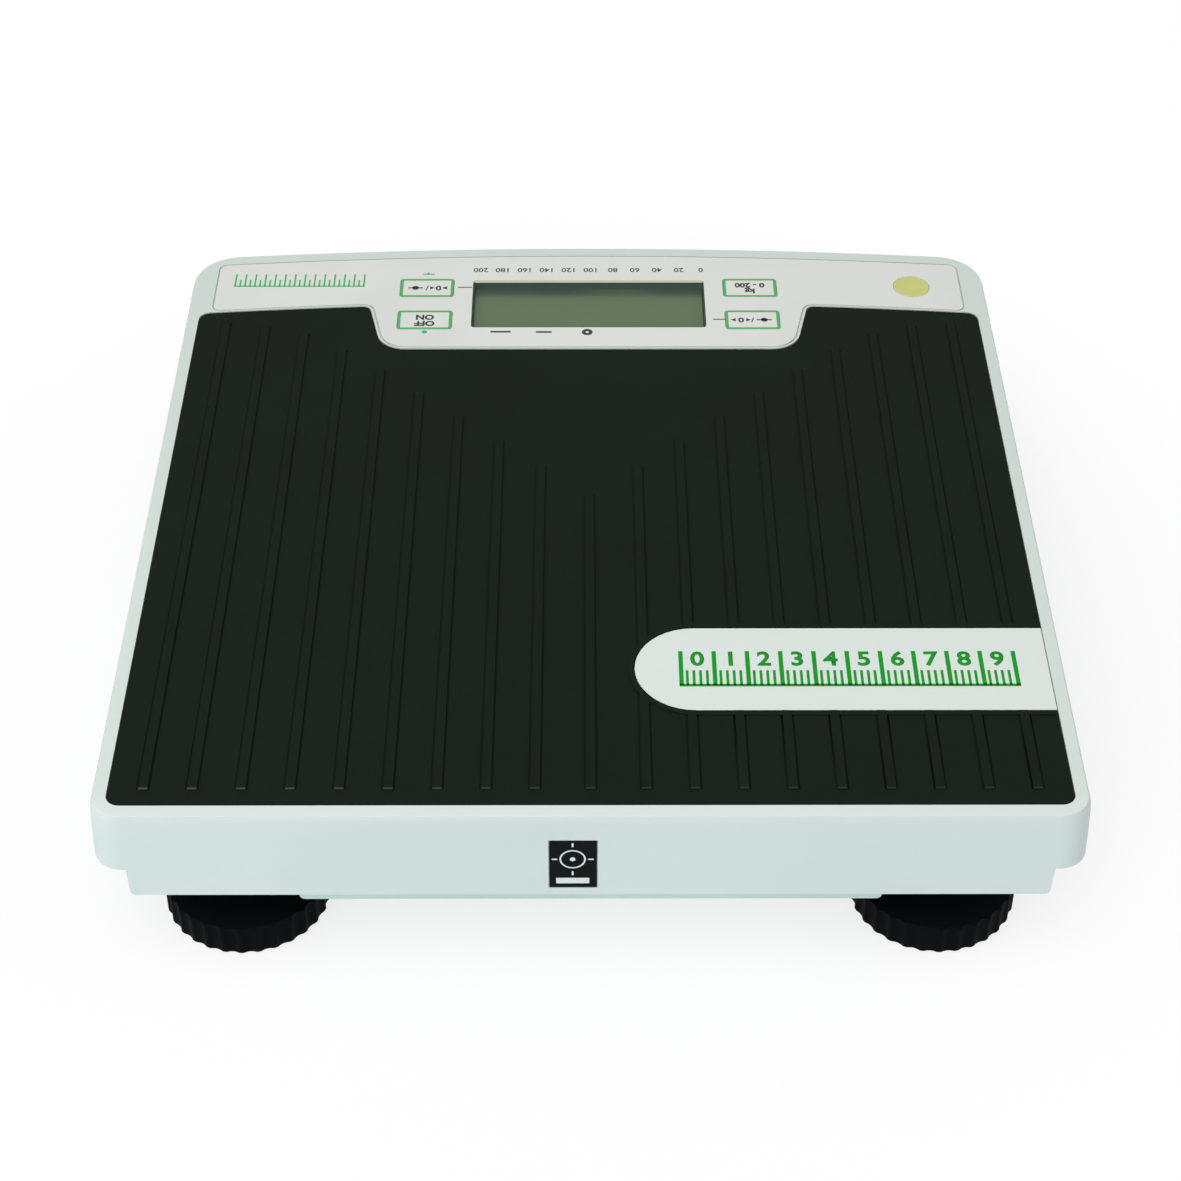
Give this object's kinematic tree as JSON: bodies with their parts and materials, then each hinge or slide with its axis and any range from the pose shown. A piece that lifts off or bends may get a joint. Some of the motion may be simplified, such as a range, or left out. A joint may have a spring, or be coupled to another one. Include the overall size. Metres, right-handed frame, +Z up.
{
  "type": "floor scale",
  "caption": "Portable digital floor scale: shallow white housing with a ribbed black mat, a keypad and display band along one edge, and fluted screw feet.",
  "frame": {"origin": "on the floor under the middle of the part's own box, feet included", "axes": "+Z up, +Y from the front face to the display band, +X to the right seen from the front face"},
  "size_m": [0.3242, 0.3276, 0.0647],
  "materials": {
    "housing": "moulded white ABS with a faint cool cast, fine satin grain",
    "tray": "moulded white ABS, satin",
    "mat": "black ribbed rubber with a fine grain",
    "badge": "white plate with a printed green rule",
    "overlay": "printed white polyester film",
    "label": "black satin",
    "lcd": "grey-green blank liquid crystal display",
    "window": "clear film",
    "vial": "pale yellow acrylic level vial",
    "cup": "white moulded holder",
    "key": "white key face with a green printed frame",
    "board": "green circuit board with its sockets and chips",
    "plate": "zinc plated sheet steel",
    "cell": "anodised aluminium",
    "zinc": "zinc plated screws",
    "stud": "zinc plated threaded stud",
    "bush": "turned brass",
    "wheel": "black moulded nylon",
    "pad": "black rubber",
    "battery": "plain jacketed dry cell",
    "contact": "nickel plated spring strip",
    "box": "black moulded battery box",
    "cell_lead": "grey sheathed lead",
    "battery_lead": "red sheathed lead"
  },
  "bodies": {
    "root": {"badge_plate": "badge", "base_tray": "tray", "battery_1": "battery", "battery_2": "battery", "battery_3": "battery", "battery_4": "battery", "battery_box": "box", "battery_lead": "battery_lead", "cell_bolt_front_left": "zinc", "cell_bolt_front_right": "zinc", "cell_bolt_rear_left": "zinc", "cell_bolt_rear_right": "zinc", "cell_lead_front_left": "cell_lead", "cell_lead_front_right": "cell_lead", "cell_lead_rear_left": "cell_lead", "cell_lead_rear_right": "cell_lead", "contact_strip_front": "contact", "contact_strip_rear": "contact", "cover_screw_front_left": "zinc", "cover_screw_front_right": "zinc", "cover_screw_rear_left": "zinc", "cover_screw_rear_right": "zinc", "display_window": "window", "foot_bush_front_left": "bush", "foot_bush_front_right": "bush", "foot_bush_rear_left": "bush", "foot_bush_rear_right": "bush", "front_label": "label", "keypad_overlay": "overlay", "lcd_frame": "label", "lcd_panel": "lcd", "level_cup": "cup", "level_vial": "vial", "load_cell_front_left": "cell", "load_cell_front_right": "cell", "load_cell_rear_left": "cell", "load_cell_rear_right": "cell", "main_board": "board", "platform_mat": "mat", "platform_plate": "plate", "top_cover": "housing"},
    "pad_front_left": {"foot_pad_front_left": "pad"},
    "wheel_front_left": {"foot_wheel_front_left": "wheel", "foot_stud_front_left": "stud"},
    "pad_front_right": {"foot_pad_front_right": "pad"},
    "wheel_front_right": {"foot_wheel_front_right": "wheel", "foot_stud_front_right": "stud"},
    "pad_rear_left": {"foot_pad_rear_left": "pad"},
    "wheel_rear_left": {"foot_wheel_rear_left": "wheel", "foot_stud_rear_left": "stud"},
    "pad_rear_right": {"foot_pad_rear_right": "pad"},
    "wheel_rear_right": {"foot_wheel_rear_right": "wheel", "foot_stud_rear_right": "stud"},
    "key_left_far_cap": {"key_left_far": "key"},
    "key_left_near_cap": {"key_left_near": "key"},
    "key_right_far_cap": {"key_right_far": "key"},
    "key_right_near_cap": {"key_right_near": "key"},
    "door": {"battery_door": "tray"}
  },
  "joints": [
    {"name": "foot_lift_front_left", "type": "slide", "parent": "root", "child": "pad_front_left", "axis": [0, 0, 1], "range_m": [-0.0046, 0.0091]},
    {"name": "foot_turn_front_left", "type": "hinge", "parent": "pad_front_left", "child": "wheel_front_left", "pos_m": [-0.1165, -0.13583, 0], "axis": [0, 0, 1], "range_deg": [-1080, 2160]},
    {"name": "foot_lift_front_right", "type": "slide", "parent": "root", "child": "pad_front_right", "axis": [0, 0, 1], "range_m": [-0.0046, 0.0091]},
    {"name": "foot_turn_front_right", "type": "hinge", "parent": "pad_front_right", "child": "wheel_front_right", "pos_m": [0.1165, -0.13583, 0], "axis": [0, 0, 1], "range_deg": [-1080, 2160]},
    {"name": "foot_lift_rear_left", "type": "slide", "parent": "root", "child": "pad_rear_left", "axis": [0, 0, 1], "range_m": [-0.0046, 0.0091]},
    {"name": "foot_turn_rear_left", "type": "hinge", "parent": "pad_rear_left", "child": "wheel_rear_left", "pos_m": [-0.1165, 0.13103, 0], "axis": [0, 0, 1], "range_deg": [-1080, 2160]},
    {"name": "foot_lift_rear_right", "type": "slide", "parent": "root", "child": "pad_rear_right", "axis": [0, 0, 1], "range_m": [-0.0046, 0.0091]},
    {"name": "foot_turn_rear_right", "type": "hinge", "parent": "pad_rear_right", "child": "wheel_rear_right", "pos_m": [0.1165, 0.13103, 0], "axis": [0, 0, 1], "range_deg": [-1080, 2160]},
    {"name": "press_left_far", "type": "slide", "parent": "root", "child": "key_left_far_cap", "axis": [0, 0, -1], "range_m": [0, 0.0004], "stiffness_N_per_m": 2500},
    {"name": "press_left_near", "type": "slide", "parent": "root", "child": "key_left_near_cap", "axis": [0, 0, -1], "range_m": [0, 0.0004], "stiffness_N_per_m": 2500},
    {"name": "press_right_far", "type": "slide", "parent": "root", "child": "key_right_far_cap", "axis": [0, 0, -1], "range_m": [0, 0.0004], "stiffness_N_per_m": 2500},
    {"name": "press_right_near", "type": "slide", "parent": "root", "child": "key_right_near_cap", "axis": [0, 0, -1], "range_m": [0, 0.0004], "stiffness_N_per_m": 2500},
    {"name": "battery_door_hinge", "type": "hinge", "parent": "root", "child": "door", "pos_m": [0, 0.0324, 0.0251], "axis": [1, 0, 0], "range_deg": [0, 75]}
  ],
  "couplings": [
    {"joint": "foot_lift_front_left", "follows": "foot_turn_front_left", "m_per_rad": 0.00023873},
    {"joint": "foot_lift_front_right", "follows": "foot_turn_front_right", "m_per_rad": 0.00023873},
    {"joint": "foot_lift_rear_left", "follows": "foot_turn_rear_left", "m_per_rad": 0.00023873},
    {"joint": "foot_lift_rear_right", "follows": "foot_turn_rear_right", "m_per_rad": 0.00023873}
  ]
}
